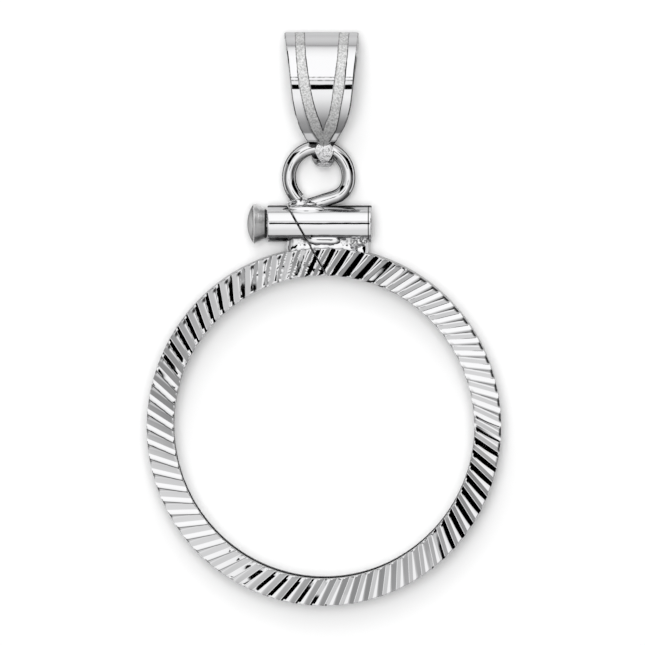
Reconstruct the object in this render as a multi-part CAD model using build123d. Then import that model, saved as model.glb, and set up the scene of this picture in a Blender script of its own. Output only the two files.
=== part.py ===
from build123d import *
from math import asin, cos, degrees, radians, sin, sqrt, tan
import os

# An empty screw-top bezel pendant for a small coin, lying on its back.
# The origin is the centre of the ring on the surface that it lies on.
# X points right, Y points from the ring to the bail, and Z comes out of the cut front face.
# All lengths are in millimetres and all angles in degrees.

# The coin that the ring holds
coin_diameter = 16.50
coin_thickness = 1.35
coin_play = 0.05  # room at the coin's edge, and on each of its faces

# Ring section
lip_cover = 0.45  # how far a lip reaches over the coin
rim_wall = 0.90  # metal outside the groove
back_lip = 0.30
front_lip = 0.45  # from the groove to the highest line of the front face
face_slope = 3.0  # the front face falls towards the outer wall
outer_bevel = 0.10
inner_bevel = 0.06
back_bevel = 0.08

# Slanted cuts in the front face
flute_count = 75
flute_slant = 28.5  # the outer end of a cut is turned clockwise by this much
flute_width = 0.40
flute_depth = 0.11
flute_floor_share = 0.42  # where the floor of a cut lies across its width
flute_clearance = 0.25  # how far the cutter's bar stands above the face

# Barrel that carries the screw
barrel_diameter = 1.88
barrel_length = 5.41
barrel_offset = -0.235  # its middle, left of the ring's centre
barrel_lift = 0.30  # room between the ring and the barrel, filled by the saddle
barrel_bevel = 0.06

# Split through the barrel and the ring
split_angle = 29.8
split_at_axis = -1.36  # where the split crosses the barrel's axis
split_width = 0.08
split_over = 0.40  # how far the saw cut runs on above the barrel and into the opening

# Saddle of solder between the ring and the barrel
saddle_left = 1.95
saddle_right = 2.25
saddle_flare = 0.15
saddle_depth = 1.25
saddle_sink = 0.45  # how deep it is let into the ring and the barrel
bead_diameter = 0.50
bead_end = 0.80
bead_height = 0.40  # of its middle above the ring's outer wall
bead_forward = 0.42  # of its middle in front of the barrel's axis

# Wire loop on top of the barrel
wire_diameter = 0.70
loop_radius = 1.547
loop_offset = -0.28
loop_sink = 0.06
loop_foot_angle = 228.0
loop_tuck_angle = 10.0  # below its right-hand side the loop turns in more tightly
loop_tuck_radius = 0.99
loop_run_angle = 18.0
loop_run = 1.72
foot_diameter = 0.84
foot_left = -1.55
foot_right = -0.98

# Bail
strap_thickness = 0.34
bail_play = 0.39  # room between the loop's wire and the bail's eye
bail_offset = -0.15
bail_width = 3.86
bail_rise = 5.97  # from the wire's centre to the top
bail_bow = 3.10  # thickness at the fullest point of the front
bow_rise = 3.10  # from the wire's centre to that point
crease_rise = 5.29
crease_thickness = 2.27
roll_radius = 1.17  # of the back's turn at the top
tip_rise = 0.08
tip_lap = 0.18  # how far the front's tip stands proud of the eye
inner_crease_share = 0.90  # the inner face bends a little before the crease
inner_tip_share = 0.75  # and leaves the bow for the eye at this share of the way to the tip
neck_width = 1.30  # of the back, where it passes the loop's wire
neck_rise = 0.45  # from the wire's centre to where the neck begins to widen
neck_flare = 1.10  # height over which it widens

# Half of the bail's width at shares of its height, as shares of the half width at the top
BAIL_OUTLINE = (
    # height, half width
    (0.000, 0.200),
    (0.054, 0.310),
    (0.155, 0.338),
    (0.190, 0.425),
    (0.350, 0.680),
    (0.490, 0.795),
    (0.690, 0.867),
    (0.903, 0.965),
    (1.000, 1.000),
)

# Clamp screw
shank_diameter = 1.00
shank_play = 0.05  # running clearance in the barrel, on the radius
shank_recess = 0.35  # from the tip to the barrel's right end
shank_bevel = 0.12
head_diameter = 2.08
head_seat_diameter = 1.43
head_length = 1.01
head_cone = 0.65  # length of the conical underside
head_dome = 0.30
head_edge = 0.06  # how much narrower the dome is than the head, on the radius
head_gap = 0.08  # between the head and the barrel
slot_width = 0.24
slot_depth = 0.34

# Sizes that follow from those above
opening_radius = coin_diameter / 2 - lip_cover
groove_radius = coin_diameter / 2 + coin_play
rim_radius = groove_radius + rim_wall
groove_top = back_lip + coin_thickness + 2 * coin_play
ring_depth = groove_top + front_lip
crown_radius = opening_radius + inner_bevel  # of the front face's highest line
middle_radius = (opening_radius + rim_radius) / 2

barrel_radius = barrel_diameter / 2
barrel_y = rim_radius + barrel_lift + barrel_radius
barrel_z = ring_depth / 2
barrel_top = barrel_y + barrel_radius
barrel_left = barrel_offset - barrel_length / 2
barrel_right = barrel_offset + barrel_length / 2
shank_radius = shank_diameter / 2

wire_radius = wire_diameter / 2
eye_radius = wire_radius + bail_play
curl_radius = eye_radius + strap_thickness
wire_z = curl_radius  # so that the bail lies flat on its back
loop_y = barrel_top + loop_radius - loop_sink
hinge_y = loop_y + loop_radius


def split_x(y):
    """Where the middle of the saw cut lies at a height y."""
    return split_at_axis - (y - barrel_y) * tan(radians(split_angle))


def left_of_split():
    """The space on the left of the saw cut's right-hand face."""
    size = 4 * rim_radius
    side = Pos((split_width - size) / 2, 0, 0) * Box(size, size, size)
    return Pos(split_at_axis, barrel_y, 0) * Rot(0, 0, split_angle) * side


def saw_cut():
    """The thin slanted slot that opens the barrel and the ring."""
    top = barrel_top + split_over
    bottom = opening_radius - split_over
    middle = (top + bottom) / 2
    length = (top - bottom) / cos(radians(split_angle))
    slot = Box(split_width, length, 4 * ring_depth)
    return Pos(split_x(middle), middle, 0) * Rot(0, 0, split_angle) * slot


def face_height(radius):
    """The height of the front face, before it is cut."""
    return ring_depth - (radius - crown_radius) * tan(radians(face_slope))


def flute_bars():
    """One V-shaped bar for each cut, laid across the front face at its slope."""
    rise = flute_depth + flute_clearance
    left = -flute_width * flute_floor_share * rise / flute_depth
    right = left + flute_width * rise / flute_depth
    slant = radians(flute_slant)
    fall = tan(radians(face_slope)) * cos(slant)
    floor = Plane(
        origin=(0, middle_radius, face_height(middle_radius) - flute_depth),
        x_dir=(cos(slant), -sin(slant), 0),
        z_dir=(-sin(slant), -cos(slant), fall),
    )
    section = make_face(Polyline((0, 0), (right, rise), (left, rise), close=True))
    reach = (rim_radius - opening_radius) / cos(slant)
    bar = extrude(floor * section, amount=reach, both=True)
    return [Rot(0, 0, -360 * i / flute_count) * bar for i in range(flute_count)]


def rim():
    """The ring: a groove for the coin between two lips, and a sloping front with slanted cuts."""
    outer_edge = rim_radius - outer_bevel
    section = make_face(
        Polyline(
            (opening_radius, ring_depth - inner_bevel),
            (opening_radius, groove_top),
            (groove_radius, groove_top),
            (groove_radius, back_lip),
            (opening_radius, back_lip),
            (opening_radius, back_bevel),
            (opening_radius + back_bevel, 0),
            (rim_radius - back_bevel, 0),
            (rim_radius, back_bevel),
            (rim_radius, face_height(outer_edge) - outer_bevel),
            (outer_edge, face_height(outer_edge)),
            (crown_radius, ring_depth),
            close=True,
        )
    )
    return revolve(Plane.XZ * section, Axis.Z) - flute_bars()


def barrel():
    """The short tube, before its bore is drilled."""
    tube = Rot(0, 90, 0) * Cylinder(barrel_radius, barrel_length)
    tube = chamfer(tube.edges().filter_by(GeomType.CIRCLE), barrel_bevel)
    return Pos(barrel_offset, barrel_y, barrel_z) * tube


def saddle():
    """The solder that joins the barrel to the ring, with a bead along the front of the joint."""
    low = rim_radius - saddle_sink
    high = barrel_y - barrel_radius + saddle_sink
    wall = make_face(
        Polyline(
            (-saddle_left - saddle_flare, low),
            (saddle_right + saddle_flare, low),
            (saddle_right, high),
            (-saddle_left, high),
            close=True,
        )
    )
    wall = Pos(0, 0, barrel_z) * extrude(wall, amount=saddle_depth / 2, both=True)
    bead_y = rim_radius + bead_height
    start = split_x(bead_y) - bead_diameter
    bead = Rot(0, 90, 0) * Cylinder(bead_diameter / 2, bead_end - start)
    bead = Pos((bead_end + start) / 2, 0, 0) * bead + Pos(bead_end, 0, 0) * Sphere(bead_diameter / 2)
    bead = Pos(0, bead_y, barrel_z + bead_forward) * bead
    return wall + (bead - left_of_split())


def loop():
    """The wire eye: round over the top, turned in at the right and run back to its foot."""
    start_angle = radians(loop_foot_angle)
    start = (
        loop_offset + loop_radius * cos(start_angle),
        loop_y + loop_radius * sin(start_angle),
    )
    heading = (sin(start_angle), -cos(start_angle))
    over = JernArc(start, heading, loop_radius, -(loop_foot_angle + loop_tuck_angle))
    turn = 90 - loop_tuck_angle - loop_run_angle
    tuck = JernArc(over @ 1, over % 1, loop_tuck_radius, -turn)
    run = Line(tuck @ 1, (tuck @ 1) + (tuck % 1) * loop_run)
    path = Pos(0, 0, wire_z) * Wire([over, tuck, run])
    wire = sweep(Plane(path @ 0, z_dir=path % 0) * Circle(wire_radius), path=path)
    return wire + (loop_foot() - left_of_split())


def loop_foot():
    """The mound of solder that holds both ends of the wire on the barrel."""
    radius = foot_diameter / 2
    mound = Rot(0, 90, 0) * Cylinder(radius, foot_right - foot_left)
    mound = Pos((foot_left + foot_right) / 2, 0, 0) * mound
    mound += Pos(foot_left, 0, 0) * Sphere(radius)
    mound += Pos(foot_right, 0, 0) * Sphere(radius)
    return Pos(0, barrel_top, wire_z) * mound


def bezel_frame():
    """Ring, saddle, barrel and loop, soldered into one piece and sawn through at the top."""
    frame = rim() + barrel() + saddle() + loop()
    bore = Rot(0, 90, 0) * Cylinder(shank_radius + shank_play, 2 * barrel_length)
    frame -= Pos(barrel_offset, barrel_y, barrel_z) * bore
    return frame - saw_cut()


def clamp_screw():
    """The screw: a domed head with a conical underside and a slot, and a plain shank."""
    seat = barrel_left - head_gap
    face = seat - head_length
    widest = seat - head_cone
    tip = barrel_right - shank_recess
    head_radius = head_diameter / 2
    shoulder = (face + head_dome, head_radius - head_edge)
    dome_radius = (head_dome**2 + shoulder[1] ** 2) / (2 * head_dome)
    half_way = face + dome_radius - sqrt(dome_radius**2 - (shoulder[1] / 2) ** 2)
    section = make_face(
        [
            ThreePointArc((face, 0), (half_way, shoulder[1] / 2), shoulder),
            Polyline(
                shoulder,
                (widest, head_radius),
                (seat, head_seat_diameter / 2),
                (seat, shank_radius),
                (tip - shank_bevel, shank_radius),
                (tip, shank_radius - shank_bevel),
                (tip, 0),
                (face, 0),
            ),
        ]
    )
    screw = revolve(section, Axis.X)
    screw -= Pos(face, 0, 0) * Box(2 * slot_depth, 2 * head_diameter, slot_width)
    return Pos(0, barrel_y, barrel_z) * screw


def bail_section():
    """The bent strap seen from its side, as a face with the opening for the chain and the wire."""
    top = hinge_y + bail_rise
    back_turn = top - roll_radius
    crease = (hinge_y + crease_rise, crease_thickness)
    bow = (hinge_y + bow_rise, bail_bow)
    tip_y = hinge_y + tip_rise
    tip_front = curl_radius + wire_z + tip_lap
    lap_z = wire_z + sqrt(curl_radius**2 - tip_rise**2)

    def arc_radius(rise, fall):
        return (rise**2 + fall**2) / (2 * fall)

    upper = arc_radius(crease[0] - bow[0], bail_bow - crease_thickness)
    lower = arc_radius(bow[0] - tip_y, bail_bow - tip_front)

    def on_front(radius, angle, inset=0.0):
        """A point on the bow, at an angle up or down from its fullest point."""
        turn = radians(angle)
        reach = radius - inset
        return (bow[0] + reach * sin(turn), bail_bow - radius + reach * cos(turn))

    upper_angle = degrees(asin((crease[0] - bow[0]) / upper))
    lower_angle = degrees(asin((bow[0] - tip_y) / lower))

    outside = make_face(
        [
            Line((hinge_y, 0), (back_turn, 0)),
            CenterArc((back_turn, roll_radius), roll_radius, 270, 90),
            Line((top, roll_radius), crease),
            ThreePointArc(crease, on_front(upper, upper_angle / 2), bow),
            ThreePointArc(bow, on_front(lower, -lower_angle / 2), (tip_y, tip_front)),
            Line((tip_y, tip_front), (tip_y, lap_z)),
            ThreePointArc((tip_y, lap_z), (hinge_y - curl_radius, wire_z), (hinge_y, 0)),
        ]
    )

    crease_turn = upper_angle * inner_crease_share
    tip_turn = -lower_angle * inner_tip_share
    inner_crease = on_front(upper, crease_turn, strap_thickness)
    inner_bow = on_front(upper, 0, strap_thickness)
    inner_low = on_front(lower, tip_turn, strap_thickness)
    eye_front = (hinge_y, wire_z + eye_radius)
    eye_back = (hinge_y, strap_thickness)
    inside = make_face(
        [
            Line(eye_back, (back_turn, strap_thickness)),
            CenterArc((back_turn, roll_radius), roll_radius - strap_thickness, 270, 90),
            Line((top - strap_thickness, roll_radius), inner_crease),
            ThreePointArc(inner_crease, on_front(upper, crease_turn / 2, strap_thickness), inner_bow),
            ThreePointArc(inner_bow, on_front(lower, tip_turn / 2, strap_thickness), inner_low),
            Line(inner_low, eye_front),
            ThreePointArc(eye_front, (hinge_y - eye_radius, wire_z), eye_back),
        ]
    )
    return outside - inside


def bail_outline():
    """The tapered outline of the bail, seen from the front."""
    bottom = hinge_y - curl_radius
    height = bail_rise + curl_radius
    right = [
        (bail_offset + half * bail_width / 2, bottom + share * height)
        for share, half in BAIL_OUTLINE
    ]
    left = [(2 * bail_offset - x, y) for x, y in right]
    return make_face([Line(left[0], right[0]), Spline(right), Line(right[-1], left[-1]), Spline(left)])


def beside_neck():
    """The space that the narrow neck of the bail's back leaves free beside the loop's wire."""
    low = hinge_y - 2 * curl_radius
    neck = hinge_y + neck_rise
    side = make_face(
        Polyline(
            (neck_width / 2, low),
            (neck_width / 2, neck),
            (bail_width / 2, neck + neck_flare),
            (bail_width, neck + neck_flare),
            (bail_width, low),
            close=True,
        )
    )
    space = extrude(side, amount=wire_z)
    return Pos(bail_offset, 0, 0) * (space + mirror(space, Plane.YZ))


def bail():
    """The bent and tapered strap that the chain runs through."""
    strap = extrude(Plane.YZ * bail_section(), amount=bail_width, both=True)
    outline = extrude(bail_outline(), amount=2 * bail_bow)
    return (strap & outline) - beside_neck()


def main():
    os.makedirs("parts", exist_ok=True)
    pieces = {
        "bezel_frame": bezel_frame(),
        "clamp_screw": clamp_screw(),
        "bail": bail(),
    }
    for name, piece in pieces.items():
        export_step(piece, f"parts/{name}.step")


main()
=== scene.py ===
from math import cos, pi, radians, sin, sqrt, tan
from types import SimpleNamespace

import bmesh
import bpy
import numpy as np
from mathutils import Matrix, Vector


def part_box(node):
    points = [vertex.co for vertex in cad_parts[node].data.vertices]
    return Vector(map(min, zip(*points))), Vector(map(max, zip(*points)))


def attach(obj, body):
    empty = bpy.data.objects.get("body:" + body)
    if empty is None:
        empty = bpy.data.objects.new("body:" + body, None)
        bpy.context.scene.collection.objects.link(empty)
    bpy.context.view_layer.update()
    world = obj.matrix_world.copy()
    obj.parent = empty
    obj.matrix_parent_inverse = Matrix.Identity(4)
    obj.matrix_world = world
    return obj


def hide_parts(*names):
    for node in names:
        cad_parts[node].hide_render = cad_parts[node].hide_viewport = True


bl_info = {
    "name": "Screw-top coin bezel pendant",
    "version": (1, 0, 0),
    "blender": (4, 5, 0),
    "location": "View3D > Sidebar > Bezel",
    "description": "Builds the finished surfaces of an empty screw-top coin bezel around its CAD frame",
    "category": "Add Mesh",
}

# Lengths in this file's formulas are millimetres, as in the part's source, and a piece is scaled to
# metres once. X points right, Y from the ring to the bail and Z out of the cut front face.
MM = 0.001
TURN = 2 * pi

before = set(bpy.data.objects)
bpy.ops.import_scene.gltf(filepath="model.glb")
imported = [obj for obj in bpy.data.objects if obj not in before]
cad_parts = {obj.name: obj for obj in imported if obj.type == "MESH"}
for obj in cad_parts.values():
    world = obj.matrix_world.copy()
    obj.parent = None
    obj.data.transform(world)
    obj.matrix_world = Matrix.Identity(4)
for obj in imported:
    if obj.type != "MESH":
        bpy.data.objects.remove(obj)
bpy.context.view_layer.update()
RING_RADIUS = -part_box("bezel_frame")[0].x

# Outline of the bail's front, from its tip to its top: height, left edge, both edges of the left
# frosted band, both edges of the right one, and right edge
BAIL_LINES = np.array(
    (
        (14.33, -0.740, 0.015, 0.015, 0.015, 0.015, 0.500),
        (14.42, -0.770, 0.010, 0.012, 0.012, 0.015, 0.530),
        (14.45, -0.780, -0.035, 0.010, 0.010, 0.065, 0.540),
        (14.53, -0.805, -0.110, 0.000, 0.002, 0.140, 0.565),
        (14.66, -0.860, -0.205, -0.010, -0.008, 0.240, 0.615),
        (14.86, -0.955, -0.330, -0.024, -0.022, 0.375, 0.710),
        (15.00, -1.025, -0.435, -0.030, -0.028, 0.450, 0.790),
        (15.23, -1.140, -0.590, -0.045, -0.036, 0.600, 0.925),
        (15.34, -1.195, -0.645, -0.072, -0.010, 0.650, 1.000),
        (15.69, -1.340, -0.775, -0.180, 0.100, 0.737, 1.160),
        (16.02, -1.463, -0.900, -0.317, 0.262, 0.806, 1.290),
        (16.40, -1.545, -1.000, -0.440, 0.350, 0.865, 1.385),
        (16.84, -1.625, -1.105, -0.560, 0.430, 0.955, 1.450),
        (17.31, -1.680, -1.205, -0.660, 0.490, 1.035, 1.505),
        (17.78, -1.725, -1.295, -0.740, 0.545, 1.100, 1.550),
        (18.42, -1.795, -1.360, -0.845, 0.633, 1.142, 1.600),
        (19.17, -1.885, -1.430, -0.945, 0.720, 1.220, 1.690),
        (20.384, -2.060, -1.500, -1.010, 0.795, 1.303, 1.795),
    )
)

# In a table of two rows the first row is places and the second values, read in straight lines between
# them.
# How far the bail's front leans back, towards its tip below and its crease above: height, degrees
BAIL_LEAN = (
    (14.33, 15.00, 15.50, 15.98, 16.45, 17.00, 17.30, 17.56, 17.78, 18.03, 18.42, 18.94, 19.71),
    (-39.0, -33.0, -27.0, -19.0, -12.5, -7.0, -2.5, 3.0, 7.0, 9.8, 16.5, 26.0, 40.0),
)
# Half width of the strap on the bail's back: height along it, half width
STRAP_HALF_WIDTH = (
    (13.30, 14.20, 14.50, 14.70, 14.92, 15.29, 15.62, 15.96, 16.80, 18.20, 19.20, 20.39),
    (0.58, 0.54, 0.62, 0.77, 0.89, 1.11, 1.26, 1.34, 1.47, 1.67, 1.84, 1.93),
)
# Half width of the strap round its eye: degrees of its bend, half width. Above 145 degrees it is the
# broad bend of the back, below them the tongue that comes up in front of the wire.
TONGUE_HALF_WIDTH = (
    (60, 75, 84, 92, 104, 116, 126, 134, 140, 144, 159, 170, 180, 190, 201, 215, 229, 250),
    (0.32, 0.33, 0.40, 0.47, 0.48, 0.39, 0.28, 0.20, 0.16)
    + (0.44, 0.29, 0.16, 0.10, 0.16, 0.29, 0.50, 0.60, 0.57),
)
# How far the narrow strap stands to the left of the bail's middle: height along it, offset
STRAP_ASIDE = ((13.9, 14.5, 14.9, 15.6, 16.5), (-0.07, -0.15, -0.14, -0.10, 0))

# Painted shade on the bands of the bail's front, stronger towards its tip, and on its sides: height, strength
BAND_SHADE = ((15.3, 15.8, 16.3, 16.9, 17.2), (1.0, 0.75, 0.42, 0.1, 0.0))
SIDE_SHADE = ((14.30, 14.66, 14.72, 15.10, 15.17, 15.7, 16.2, 17.0), (1, 1, 0.05, 0.15, 0.95, 0.8, 0.4, 0))
# Faint brush marks that run across the bail's top facet, one for each of its rows
FACET_DULL = (0.25, 0.12, 0.05, 0.02, 0.1, 0.16, 0.05, 0.2)

# How the tool was tilted, and the dark marks painted round the ring: degrees clockwise from the top,
# strength. The tool was tilted in two places. A painted dark reflection runs along one side of the land
# between two cuts; dark spots, dashes of painted reflection and dark dots lie at the cuts' outer ends, and dark
# nicks at their inner ends.
TOOL_TILT = ((170, 182, 215, 225, 275, 290, 345, 355), (0, 1, 1, 0, 0, 1, 1, 0))
LAND_REFLECTION = (
    (0, 14, 26, 60, 85, 100, 203, 214, 250, 286, 296, 360),
    (0, 0, 0.8, 0.75, 1, 0, 0, 0.8, 1, 0.8, 0, 0),
)
SPOTS = ((18, 30, 96, 108), (0, 1, 1, 0))
DASHES = ((222, 236, 296, 304), (0, 0.9, 0.8, 0))
DOTS = ((288, 300, 345, 352), (0, 1, 1, 0))
NICKS = ((8, 20, 100, 112), (0, 0.9, 0.9, 0))
# Where the painted dark reflection lies across the land, as a share of it, and how wide it is
REFLECTION_PLACE = ((0, 100, 205, 320), (0.15, 0.15, 0.7, 0.8))
REFLECTION_WIDTH = ((240, 285), (0.032, 0.045))

# Dark streaks of painted reflection along the loop's wire, outside and inside: degrees round the loop, strength
OUTER_STREAK = ((0, 35, 60, 140, 160, 200, 225, 330, 345), (1, 0.8, 0.3, 0.3, 1, 1, 0.4, 0.4, 1))
INNER_STREAK = ((0, 60, 130, 170, 210, 330), (0.5, 0.3, 0.5, 0.9, 0.7, 0.5))

# How bright the light tent's sides are: degrees clockwise from the bail's side, glow
TENT_GLOW = (
    (0, 20, 45, 84, 90, 97, 104, 112, 125, 139, 149, 156, 170)
    + (185, 200, 209, 220, 236, 250, 262, 280, 296, 318, 340, 360),
    (1.72, 1.7, 1.6, 1.2, 0.6, 0.68, 0.52, 0.45, 0.48, 0.65, 0.85, 1.0, 1.15)
    + (1.2, 1.05, 0.75, 0.45, 0.50, 0.75, 0.98, 1.0, 1.1, 1.5, 1.7, 1.72),
)
# How that fades towards the floor: degrees down from straight above, share
TENT_FALL = ((56, 64, 70, 75, 79, 86, 90), (1.0, 0.95, 0.87, 0.75, 0.4, 0.4, 0.9))


def number(name, description, default, **limits):
    """A plain number property."""
    return bpy.props.FloatProperty(name=name, description=description, default=default, **limits)


def length(name, description, millimetres, least=0.001, most=40.0):
    """A length property whose default is given in millimetres and kept in metres."""
    limits = {"min": least * MM, "max": most * MM}
    return number(name, description, millimetres * MM, precision=5, unit="LENGTH", **limits)


def place(name, description, millimetres):
    """A length property that may be below zero."""
    return length(name, description, millimetres, least=-40.0)


def angle(name, description, default):
    """An angle property whose default is given in degrees."""
    return number(name, description, radians(default), unit="ROTATION")


def share(name, description, default):
    """A property between 0 and 1."""
    return number(name, description, default, min=0, max=1, subtype="FACTOR")


def colour(name, description, code):
    """A colour property whose default is an sRGB hex value."""
    return bpy.props.FloatVectorProperty(
        name=name, description=description, default=linear(code), min=0, max=1, size=3, subtype="COLOR"
    )


def linear(code):
    """The linear light values of an sRGB hex colour."""
    values = np.array([int(code[i : i + 2], 16) for i in (1, 3, 5)]) / 255
    low, high = values / 12.92, ((values + 0.055) / 1.055) ** 2.4
    return tuple(np.where(values <= 0.04045, low, high).tolist())


def in_mm(group):
    """The values of a property group, its lengths in millimetres."""
    return SimpleNamespace(
        **{
            p.identifier: getattr(group, p.identifier) / MM if p.unit == "LENGTH" else getattr(group, p.identifier)
            for p in group.bl_rna.properties
            if p.identifier not in ("rna_type", "name")
        }
    )


class BezelRingSizes(bpy.types.PropertyGroup):
    radius: length("Radius", "Outer radius of the ring", RING_RADIUS / MM)
    opening: length("Opening", "Radius of the opening that shows the coin", 7.80)
    groove: length("Groove", "Radius of the groove that holds the coin", 8.30)
    depth: length("Depth", "From the back to the highest line of the front", 2.20)
    back_lip: length("Back lip", "Thickness of the lip behind the coin", 0.30)
    groove_top: length("Groove top", "Height of the groove's front face above the back", 1.75)
    face_slope: angle("Face slope", "How far the front face falls towards the outer wall", 3.0)
    outer_round: length("Outer rounding", "Radius of the front's outer edge", 0.07)
    inner_round: length("Inner rounding", "Radius of the front's inner edge", 0.09)
    back_round: length("Back rounding", "Width of the bevels round the back", 0.08)
    flutes: bpy.props.IntProperty(
        name="Cuts", description="Number of slanted cuts in the front", default=75, min=3, max=200
    )
    flute_slant: angle("Slant", "How far a cut's outer end is turned clockwise", 28.5)
    flute_depth: length("Cut depth", "Depth of the cuts below the face", 0.119)
    flute_floor: length("Cut floor", "Width of the flat floor of a cut", 0.025)
    flute_left: length("Left side", "Width of a cut on the anticlockwise side of its floor", 0.225)
    flute_flat: length("Left flat", "Width of the flat part of that side", 0.197)
    flute_lip: angle("Left lip", "Slope at which that side meets the land", 6)
    flute_right: length("Right side", "Width of a cut on the clockwise side of its floor", 0.280)
    flute_rise: length("End rise", "How far a cut's floor rises towards its ends", 0.008)
    flute_tilt: length("Cut tilt", "How much shallower a cut's left side gets at its ends", 0.035)
    land_round: length("Land rounding", "How far the land between two cuts is worn down at its sides", 0.006)
    # Strength of the painted shade on the ring's outer wall
    wall_shade: share("Wall dullness", "How far the ring's outer wall is from bright", 0.95)
    stretch: number("Stretch", "How much taller than wide the ring is", 1.0101, min=0.9, max=1.1)


class BezelBarrelSizes(bpy.types.PropertyGroup):
    radius: length("Radius", "Radius of the barrel", 0.94)
    bore: length("Bore", "Radius of the threaded bore", 0.55)
    left: place("Left end", "Where the barrel begins", -2.94)
    right: place("Right end", "Where the barrel ends", 2.47)
    axis_y: length("Axis height", "Distance of the barrel's axis from the ring's centre", 10.44)
    axis_z: length("Axis level", "Height of the barrel's axis above the back", 1.10)
    edge: length("Edge", "Rounding of the barrel's ends", 0.07)
    cut_angle: angle("Cut angle", "Slant of the saw cut", 29.8)
    cut_at: place("Cut place", "Where the cut crosses the axis", -1.36)
    cut_width: length("Cut width", "Width of the saw cut", 0.085)


class BezelLoopSizes(bpy.types.PropertyGroup):
    wire: length("Wire", "Radius of the wire", 0.35)
    radius: length("Radius", "Radius of the loop's middle line", 1.547)
    centre_x: place("Centre", "The loop's middle, from the ring's", -0.28)
    centre_y: length("Height", "Distance of the loop's middle from the ring's centre", 12.867)
    level: length("Level", "Height of the wire's middle above the back", 1.08)
    foot_angle: angle("Foot angle", "Where the wire leaves its foot", 228)
    tuck_angle: angle("Tuck angle", "How far below its right side the loop turns in", 10)
    tuck_radius: length("Tuck radius", "Radius of that tighter turn", 0.99)
    run_angle: angle("Run angle", "Slope of the straight run back to the foot", 18)
    run: length("Run", "Length of the straight run", 1.72)


class BezelBailSizes(bpy.types.PropertyGroup):
    strap: length("Strap", "Thickness of the bent strap", 0.34)
    bow: length("Bow", "Thickness of the bail at its fullest", 3.10)
    top: length("Top", "Distance of the top from the ring's centre", 20.384)
    roll: length("Roll", "Radius of the turn at the top of the back", 1.17)
    eye_y: length("Eye height", "Distance of the eye's middle from the ring's centre", 14.414)
    eye_z: length("Eye level", "Height of the eye's middle above the back", 1.08)
    curl: length("Curl", "Outer radius of the turn round the wire", 1.08)
    lean: number("Lean", "How far the bail leans to the left in its loop", 0.0245)
    tongue_end: number("Tongue end", "How far round the eye the strap is bent, in degrees", 70)
    rim: length("Rim", "Width of the rounding along the sides", 0.06)
    line: length("Line width", "Half width of the engraved lines beside the bands", 0.03)
    line_depth: length("Line depth", "Depth of the engraved lines", 0.014)
    scoop: length("Scoop", "How deep the sides beside the tip are scooped", 0.13)


class BezelScrewSizes(bpy.types.PropertyGroup):
    head: length("Head", "Radius of the head at its widest", 1.04)
    seat: length("Seat", "Radius of the head at the barrel", 0.715)
    shank: length("Shank", "Radius of the threaded shank", 0.50)
    dome: length("Dome", "Height of the domed face", 0.30)
    cone: length("Cone", "Length of the conical underside", 0.65)
    slot: length("Slot", "Half width of the driver's slot", 0.12)
    slot_depth: length("Slot depth", "Depth of the slot at its middle", 0.34)
    pitch: length("Pitch", "Pitch of the thread", 0.25)
    thread: length("Thread", "Depth of the thread", 0.07)


class BezelFinish(bpy.types.PropertyGroup):
    metal: colour("White gold", "Colour of the polished white gold", "#C6C6C7")
    frost: colour("Frosted bands", "Colour of the sandblasted bands", "#CECECE")
    # Colour for painted shade: the metal is darkened towards it where a surface turns away from the front, towards
    # the bail's tip and on the ring's walls, and also along a seam and brush marks
    shade_and_marks: colour("Dull metal", "Colour of white gold that is hardly buffed", "#5E5E5F")
    # This dark colour holds the dirt in engraved lines, and also paints shade and dark reflections
    line: colour("Lines", "Colour of the dirt in the engraved lines", "#2C2C2C")
    screw: colour("Screw", "Colour of the turned screw", "#D4D4D4")
    polish: share("Polish", "Roughness of the polished surfaces", 0.035)
    matte: share("Matte", "Roughness of the frosted bands", 0.42)


class BezelStage(bpy.types.PropertyGroup):
    lens: number("Lens", "Focal length in millimetres", 900, min=50, max=4000)
    width: length("Width", "Width of what the camera sees", 33.48, most=400)
    tilt_up: angle("Tilt", "How far the camera stands towards the bail", 3.0)
    tilt_right: angle("Side tilt", "How far the camera stands to the right", 0.7)
    floor: colour("Floor", "Colour of the paper floor", "#F2F2F2")


def between(value, low, high, soft):
    """1 between two values and 0 outside them, with soft edges."""
    return np.clip((value - low) / soft, 0, 1) * np.clip((high - value) / soft, 0, 1)


def bell(value, middle, width):
    """exp(-((value - middle) / width)^2), which is 1 at the middle and nearly 0 two widths from it."""
    return np.exp(-(((value - middle) / width) ** 2))


def smooth(part):
    """3 part^2 - 2 part^3, which leaves 0 and reaches 1 level."""
    return part * part * (3 - 2 * part)


def edge_on_shade(up, low, high):
    """How much painted shade a round thing gets where its surface turns away from the front: 0 at the first angle,
    1 at the second."""
    return np.clip((np.degrees(np.arccos(np.clip(up, -1, 1))) - low) / (high - low), 0, 1)


def grid(*parts):
    """Arrays of x, y and z that fit together, as one array of points."""
    return np.stack(np.broadcast_arrays(*parts), -1)


def quads_of(rows, columns, wrap_rows=False, wrap_columns=False):
    """Corner numbers of a grid's faces; a wrapped direction joins its last line to its first."""
    row = np.arange(rows if wrap_rows else rows - 1)[:, None]
    column = np.arange(columns if wrap_columns else columns - 1)[None, :]
    next_row, next_column = (row + 1) % rows * columns, (column + 1) % columns
    row = row * columns
    return grid(row + column, next_row + column, next_row + next_column, row + next_column).reshape(-1, 4)


def surface(points, wrap_rows=False, wrap_columns=False, cap_ends=False):
    """A grid of points as (points, quads, caps); caps close the two ends of a grid that is a tube."""
    rows, columns = points.shape[:2]
    ring = np.arange(columns)
    caps = [ring[::-1], ring + (rows - 1) * columns] if cap_ends else []
    return points.reshape(-1, 3), quads_of(rows, columns, wrap_rows, wrap_columns), caps


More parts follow.
